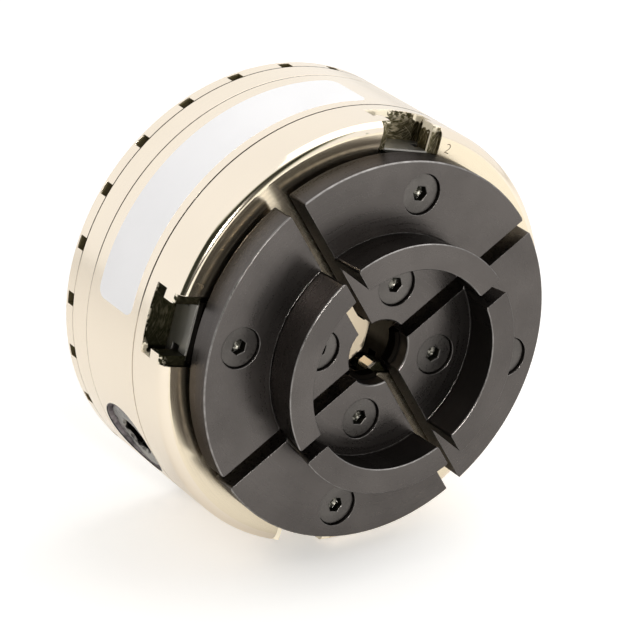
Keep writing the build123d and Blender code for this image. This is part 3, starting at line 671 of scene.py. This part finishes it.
def label_film(colours):
    """White plastic film with a faint orange peel."""
    material, tree, shader = start_material("label_film")
    tone = placed(tree, "broad_tone", Scale=60.0)["Tone"]
    grain = placed(tree, "fine_grain", Scale=700.0)["Grain"]
    tree.links.new(blend_colour(tree, tone, colours.paper, scaled(colours.paper, 0.97)), shader["Base Color"])
    tree.links.new(ramp(tree, grain, *NOISE_WIDE, 0.30, 0.42), shader["Roughness"])
    relief(tree, shader, grain, 0.15, 0.01 * MM)
    return material


def stamped_ink(colours):
    """Painted shade in the stamped strokes."""
    material, tree, shader = start_material("stamped_stroke")
    grain = placed(tree, "fine_grain", Scale=2500.0)["Grain"]
    shade = blend_colour(tree, ramp(tree, grain, *NOISE_MIDDLE), colours.ink, scaled(colours.ink, 2.2))
    tree.links.new(shade, shader["Base Color"])
    shader["Metallic"].default_value = 1.0
    tree.links.new(ramp(tree, grain, *NOISE_WIDE, 0.4, 0.6), shader["Roughness"])
    return material


def dress(material, *nodes):
    """Gives CAD nodes a material."""
    for name in nodes:
        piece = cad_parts[name]
        if not piece.material_slots:
            piece.data.materials.append(material)
        for holder in piece.material_slots:
            holder.material = material


# Mesh building

def mesh_object(name, points, faces, material, body, smooth=True):
    """Puts points and faces of a closed shape into a new object that rides on a body."""
    mesh = bpy.data.meshes.new(name)
    mesh.from_pydata(np.asarray(points).tolist(), [], np.asarray(faces).tolist())
    mesh.validate()
    mesh.polygons.foreach_set("use_smooth", [smooth] * len(mesh.polygons))
    mesh.materials.append(material)
    piece = bpy.data.objects.new(name, mesh)
    bpy.context.scene.collection.objects.link(piece)
    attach(piece, body)
    outward(piece)
    return piece


def outward(piece):
    """Recalculates the normals of a closed mesh so that they point out."""
    shape = bmesh.new()
    shape.from_mesh(piece.data)
    bmesh.ops.remove_doubles(shape, verts=shape.verts, dist=1e-7)
    bmesh.ops.recalc_face_normals(shape, faces=shape.faces)
    shape.to_mesh(piece.data)
    shape.free()


def loop_faces(rows, columns, close_columns=True):
    """Quads of a grid of points stored row by row; closed columns join each row's last point to its first."""
    across = columns if close_columns else columns - 1
    i, j = np.meshgrid(np.arange(rows - 1), np.arange(across), indexing="ij")
    corner, beside = i * columns + j, i * columns + (j + 1) % columns
    return np.stack([corner, beside, beside + columns, corner + columns], -1).reshape(-1, 4)


# Operators

class CHUCK_OT_plating(Operator):
    """Nickel plate on body, back plate and index ring"""

    bl_idname = "chuck.plating"
    bl_label = "Plate the body"

    def execute(self, context):
        dress(nickel_plate(context.scene.chuck_colours), "front_body", "back_plate", "index_ring")
        return {"FINISHED"}


class CHUCK_OT_jaws(Operator):
    """Black oxide on top jaws and slides"""

    bl_idname = "chuck.jaws"
    bl_label = "Blacken the jaws"

    def execute(self, context):
        colours = context.scene.chuck_colours
        # painted shade in the jaw hole and on the slides
        top = black_oxide("black_jaw", colours, colours.black, 0.25, 0.36, 0.8, painted_shade=hole_oil)
        slide = black_oxide("black_slide", colours, colours.slide, 0.28, 0.40, 0.6, sheen=0.9, painted_shade=slide_oil)
        for number in JAWS:
            dress(top, "top_jaw_%d" % number)
            dress(slide, "jaw_slide_%d" % number)
        return {"FINISHED"}


class CHUCK_OT_screws(Operator):
    """Countersunk socket screws in the jaws, and black on the screws of plate and insert"""

    bl_idname = "chuck.screws"
    bl_label = "Make the screws"

    def execute(self, context):
        """The two screws of a jaw stand one head's radius in from the ends of their node's box. Those of
        jaw 1 are turned round the spindle axis for the other jaws."""
        colours = context.scene.chuck_colours
        black = black_oxide("black_screw", colours, colours.screw, 0.28, 0.42, 0.7)
        dress(black, "plate_screws", "insert_lock_screw", *["jaw_screws_%d" % number for number in JAWS])
        keyed = keyed_screw(colours)
        low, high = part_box("jaw_screws_1")
        ring, quads = self.screw_grid(high.z, high.z - low.z)
        spots = (low.x + SCREW_HEAD, high.x - SCREW_HEAD)
        points = np.concatenate([ring + np.array((spot, 0, 0)) for spot in spots])
        faces = np.concatenate([quads, quads + len(ring)])
        for number in JAWS:
            angle = math.pi / 2 * (number - 1)
            cosine, sine = math.cos(angle), math.sin(angle)
            spin = np.array(((cosine, sine, 0), (-sine, cosine, 0), (0, 0, 1)))
            piece = mesh_object("socket_screws_%d" % number, points @ spin, faces,
                                keyed, "jaw_%d" % number)
            piece.data.set_sharp_from_angle(angle=math.radians(25))
            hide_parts("jaw_screws_%d" % number)
        return {"FINISHED"}

    @staticmethod
    def screw_grid(top, long):
        """A profile carried round the screw's axis. Each row has a radius, a depth under the head's top and
        0 for round or 1 for hexagon. A hexagon row's radius is divided by the cosine of the angle from the
        middle of the nearest flat."""
        flat = SOCKET_FLATS / 2
        rows = np.array((
            (0.0, long, 0), (SCREW_SHANK - 0.5 * MM, long, 0), (SCREW_SHANK, long - 0.5 * MM, 0),
            (SCREW_SHANK, 0.5 * MM + SCREW_HEAD - SCREW_SHANK, 0), (SCREW_HEAD, 0.5 * MM, 0),
            (SCREW_HEAD, 0.22 * MM, 0), (SCREW_HEAD - 0.22 * MM, 0.0, 0), (0.72 * SCREW_HEAD, 0.0, 0),
            (flat + 0.12 * MM, 0.0, 1), (flat, 0.12 * MM, 1), (flat, SOCKET_DEPTH, 1),
            (0.9 * flat, SOCKET_DEPTH, 0), (0.0, 3.2 * MM, 0)))
        angle = np.linspace(0, 2 * math.pi, 72, endpoint=False)
        hexagon = 1 / np.cos((angle + math.pi / 6) % (math.pi / 3) - math.pi / 6)
        radius = rows[:, :1] * np.where(rows[:, 2:] > 0, hexagon, 1.0)
        height = np.broadcast_to(top - rows[:, 1:2], radius.shape)
        points = np.stack([radius * np.cos(angle), radius * np.sin(angle), height], -1).reshape(-1, 3)
        return points, loop_faces(len(rows), len(angle))


class CHUCK_OT_steel(Operator):
    """Turned steel of insert, scroll, pinion and pin"""

    bl_idname = "chuck.steel"
    bl_label = "Finish the steel"

    def execute(self, context):
        colours = context.scene.chuck_colours
        steel = bare_steel("turned_steel", colours.steel, 0.22, 0.36)
        dress(steel, "spindle_insert", "scroll_ring", "pinion_pin")
        dress(pinion_steel(colours), "drive_pinion")
        return {"FINISHED"}


class CHUCK_OT_label(Operator):
    """Blank white label on the body's side"""

    bl_idname = "chuck.label"
    bl_label = "Stick on the label"

    def execute(self, context):
        """The label is a strip of the cylinder. Its half height at a distance d from an end is the full half
        height less (corner - sqrt(corner^2 - (corner - d)^2)) while d is under the corner radius. The outer
        skin stands one thickness over the inner one, which lies just over the body, and both share the
        outline."""
        sizes = context.scene.chuck_sizes
        radius = BODY_RADIUS + LABEL_LIFT
        length = (sizes.label_end - sizes.label_start) * radius
        corner = sizes.label_corner
        middle = (sizes.label_low + sizes.label_high) / 2
        half = (sizes.label_high - sizes.label_low) / 2
        bend = corner * (1 - np.cos(np.linspace(0, math.pi / 2, 9)))
        run = np.concatenate([bend, np.linspace(corner, length - corner, 91)[1:-1], length - bend[::-1]])
        from_end = np.clip(corner - np.minimum(run, length - run), 0, corner)
        tall = half - corner + np.sqrt(np.maximum(corner ** 2 - from_end ** 2, 0))
        across = np.linspace(-1, 1, 13)
        angle, share = np.meshgrid(sizes.label_start + run / radius, across, indexing="ij")
        z = middle + share * tall[:, None]
        skins = [np.stack([skin * np.cos(angle), skin * np.sin(angle), z], -1).reshape(-1, 3)
                 for skin in (radius, radius + sizes.label_thick)]
        rows, columns = angle.shape
        count = rows * columns
        grid = loop_faces(rows, columns, close_columns=False)
        rim = np.concatenate([
            np.arange(rows) * columns,
            (rows - 1) * columns + np.arange(1, columns),
            np.arange(rows - 2, -1, -1) * columns + columns - 1,
            np.arange(columns - 2, 0, -1)])
        after = np.roll(rim, -1)
        side = np.stack([rim, after, after + count, rim + count], -1)
        piece = mesh_object("label_strip", np.concatenate(skins),
                            np.concatenate([grid, grid[:, ::-1] + count, side]),
                            label_film(context.scene.chuck_colours), "chuck_body")
        piece.data.set_sharp_from_angle(angle=math.radians(30))
        return {"FINISHED"}


class CHUCK_OT_numbers(Operator):
    """Station numbers 1 to 4 stamped in the front face beside the slots"""

    bl_idname = "chuck.numbers"
    bl_label = "Stamp the station numbers"

    def execute(self, context):
        sizes = context.scene.chuck_sizes
        # the stamped numbers carry painted shade
        ink = stamped_ink(context.scene.chuck_colours)
        for number in JAWS:
            curve = bpy.data.curves.new("station_%d" % number, "FONT")
            curve.body = str(number)
            curve.align_x = "CENTER"
            curve.align_y = "CENTER"
            curve.size = sizes.number_height * FONT_OVER_DIGIT
            curve.offset = -0.02 * sizes.number_height
            curve.extrude = 0.02 * MM
            text = bpy.data.objects.new("station_text_%d" % number, curve)
            mesh = bpy.data.meshes.new_from_object(text)
            bpy.data.objects.remove(text)
            side = 1 if number == 4 else -1
            angle = math.radians(90 * (number - 1)) + side * sizes.number_angle
            place = Matrix.Rotation(angle, 4, "Z") @ Matrix.Translation((sizes.number_radius, 0, FRONT_FACE))
            mesh.transform(place @ Matrix.Rotation(math.radians(-90), 4, "Z"))
            mesh.materials.clear()
            mesh.materials.append(ink)
            piece = bpy.data.objects.new("station_number_%d" % number, mesh)
            context.scene.collection.objects.link(piece)
            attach(piece, "chuck_body")
        return {"FINISHED"}


class CHUCK_OT_thread(Operator):
    """Thread turns in the spindle bore"""

    bl_idname = "chuck.thread"
    bl_label = "Cut the spindle thread"

    def execute(self, context):
        """One closed profile, a ridge with sloping flanks, is carried along a helix: at turn t a profile
        point keeps its radius and stands pitch times t higher. The first and last quarter turns run out
        into the bore."""
        sizes = context.scene.chuck_sizes
        pitch, depth = sizes.thread_pitch, sizes.thread_depth
        low, high = THREAD_ENDS
        turns = (high - low) / pitch
        t = np.linspace(0, turns, int(turns * sizes.turn_steps))[:, None]
        fade = np.clip(np.minimum(t, turns - t) / THREAD_RUN_OUT, 0.02, 1.0)
        inward = np.array([-0.02, -0.02, 1.0, 1.0])
        upward = np.array([-0.46, 0.46, 0.07, -0.07])
        radius = BORE_RADIUS - depth * inward * np.where(inward > 0, fade, 1.0)
        height = low + pitch * (t + upward)
        angle = 2 * math.pi * t
        points = np.stack([radius * np.cos(angle), radius * np.sin(angle), height], -1).reshape(-1, 3)
        corners = len(inward)
        last = (len(t) - 1) * corners
        ends = [[0, 1, 2, 3], [last + 3, last + 2, last + 1, last]]
        mesh_object("bore_thread", points, np.concatenate([loop_faces(len(t), corners), ends]),
                    bpy.data.materials["turned_steel"], "chuck_body", smooth=False)
        return {"FINISHED"}


class CHUCK_OT_stage(Operator):
    """Camera, lamps, room and floor"""

    bl_idname = "chuck.stage"
    bl_label = "Set up the studio"

    def execute(self, context):
        """The chuck lies on its side in front of the camera, as on a table. up is the table's normal, near
        points along the table to the camera, right to the camera's right."""
        scene = context.scene
        stage = scene.chuck_stage
        up = TABLE_NORMAL
        turn = Euler(stage.camera_turn, "XYZ").to_matrix()
        back = turn.col[2]
        near = (back - up * back.dot(up)).normalized()
        right = up.cross(near)

        camera = bpy.data.cameras.new("photo_camera")
        camera.lens = stage.lens
        camera.sensor_width = 36.0
        camera.clip_start = 0.01
        camera.clip_end = 20.0
        holder = bpy.data.objects.new("photo_camera", camera)
        holder.matrix_world = Matrix.Translation(stage.camera_place) @ turn.to_4x4()
        scene.collection.objects.link(holder)
        scene.camera = holder

        for lamp, level in ((TOP_LAMP, stage.lamp_level), (FRONT_LAMP, stage.front_level)):
            self.area_lamp(scene, right, up, near, level, *lamp)
        scene.world = self.white_room(stage, (right, up, near))

        foot = AIM - up * (BODY_RADIUS + 0.5 * MM)
        corners = [foot + right * to_right + near * to_near for to_right, to_near in (
            (-TABLE_REACH, -TABLE_REACH), (TABLE_REACH, -TABLE_REACH),
            (TABLE_REACH, TABLE_FRONT), (-TABLE_REACH, TABLE_FRONT))]
        mesh = bpy.data.meshes.new("table_top")
        mesh.from_pydata([tuple(corner) for corner in corners], [], [(0, 1, 2, 3)])
        floor = bpy.data.objects.new("table_top", mesh)
        scene.collection.objects.link(floor)
        if mesh.polygons[0].normal.dot(up) < 0:
            mesh.flip_normals()
        mesh.materials.append(self.table_material())
        scene.view_settings.view_transform = "Standard"
        return {"FINISHED"}

    @staticmethod
    def area_lamp(scene, right, up, near, level, name, to_right, to_up, to_near, side, colour):
        """A square lamp that looks at AIM, as bright whatever its side."""
        lamp = bpy.data.lights.new(name, "AREA")
        lamp.shape = "SQUARE"
        lamp.size = side
        lamp.energy = level * math.pi * side * side
        lamp.color = colour
        place = bpy.data.objects.new(name, lamp)
        place.location = AIM + right * to_right + up * to_up + near * to_near
        place.rotation_mode = "QUATERNION"
        place.rotation_quaternion = (AIM - place.location).to_track_quat("-Z", "Y")
        scene.collection.objects.link(place)

    @staticmethod
    def white_room(stage, axes):
        """White world. What it gives as light is dimmer than what is seen, and metal mirrors a dark part in
        front of the chuck."""
        world = bpy.data.worlds.new("white_room")
        world.use_nodes = True
        tree = world.node_tree
        tree.nodes.clear()
        path = node(tree, "ShaderNodeLightPath").outputs
        seen = largest(tree, path["Is Camera Ray"], path["Is Glossy Ray"], path["Is Transmission Ray"])
        look = node(tree, "ShaderNodeTexCoord").outputs["Generated"]
        aim = [dot(tree, look, axis) for axis in axes]
        borders = [ramp(tree, aim[way], *border) for way, border in DARK_BORDERS]
        dark = times(tree, *borders, above(tree, aim[2], 0.0), path["Is Glossy Ray"])
        strength = ramp(tree, seen, 0.0, 1.0, stage.ambient, 1.0)
        strength = ramp(tree, dark, 0.0, 1.0, strength, stage.dark_level)
        tint = blend_colour(tree, dark, (1.0, 1.0, 1.0), DARK_TINT)
        light = node(tree, "ShaderNodeBackground", {"Color": tint, "Strength": strength})
        tree.links.new(light.outputs[0], node(tree, "ShaderNodeOutputWorld").inputs["Surface"])
        return world

    @staticmethod
    def table_material():
        """White table, seen a little brighter than it is lit so that it meets the white room, and clear from
        below."""
        material = bpy.data.materials.new("table_white")
        material.use_nodes = True
        tree = material.node_tree
        tree.nodes.clear()
        path = node(tree, "ShaderNodeLightPath").outputs
        cloth = node(tree, "ShaderNodeBsdfDiffuse", {"Color": TABLE_COLOUR})
        strength = calc(tree, "ADD", times(tree, path["Is Camera Ray"], TABLE_GLOW),
                        times(tree, path["Is Glossy Ray"], TABLE_MIRROR))
        glow = node(tree, "ShaderNodeEmission", {"Color": (1, 1, 1, 1), "Strength": strength})
        both = node(tree, "ShaderNodeAddShader", {0: cloth.outputs[0], 1: glow.outputs[0]})
        clear = node(tree, "ShaderNodeBsdfTransparent")
        side = node(tree, "ShaderNodeNewGeometry").outputs["Backfacing"]
        mixed = node(tree, "ShaderNodeMixShader", {0: side, 1: both.outputs[0], 2: clear.outputs[0]})
        tree.links.new(mixed.outputs[0], node(tree, "ShaderNodeOutputMaterial").inputs["Surface"])
        return material


class CHUCK_PT_panel(Panel):
    """Sizes, colours and steps of the chuck"""

    bl_idname = "CHUCK_PT_panel"
    bl_label = "Chuck"
    bl_space_type = "VIEW_3D"
    bl_region_type = "UI"
    bl_category = "Chuck"

    def draw(self, context):
        layout = self.layout
        for holder in (context.scene.chuck_sizes, context.scene.chuck_colours, context.scene.chuck_stage):
            box = layout.box()
            for key in holder.__annotations__:
                box.prop(holder, key)
        for step in STEPS:
            layout.operator(step.bl_idname)


STEPS = (CHUCK_OT_stage, CHUCK_OT_plating, CHUCK_OT_jaws, CHUCK_OT_screws, CHUCK_OT_steel,
         CHUCK_OT_label, CHUCK_OT_numbers, CHUCK_OT_thread)
CLASSES = (ChuckSizes, ChuckColours, ChuckStage, *STEPS, CHUCK_PT_panel)


def register():
    """Registers the classes and hangs the settings on the scene."""
    for item in CLASSES:
        bpy.utils.register_class(item)
    bpy.types.Scene.chuck_sizes = PointerProperty(type=ChuckSizes)
    bpy.types.Scene.chuck_colours = PointerProperty(type=ChuckColours)
    bpy.types.Scene.chuck_stage = PointerProperty(type=ChuckStage)


def unregister():
    """Takes the settings off the scene and unregisters the classes."""
    for name in ("chuck_sizes", "chuck_colours", "chuck_stage"):
        delattr(bpy.types.Scene, name)
    for item in reversed(CLASSES):
        bpy.utils.unregister_class(item)


def main():
    """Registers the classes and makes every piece."""
    register()
    GROUPS.update({
        "turning_marks": group_turning(), "broad_tone": group_tone(), "fine_grain": group_grain(),
        "eased_edges": group_edges(), "slot_zone": group_slot()})
    for step in STEPS:
        area, action = step.bl_idname.split(".")
        getattr(getattr(bpy.ops, area), action)()


if __name__ == "__main__":
    main()
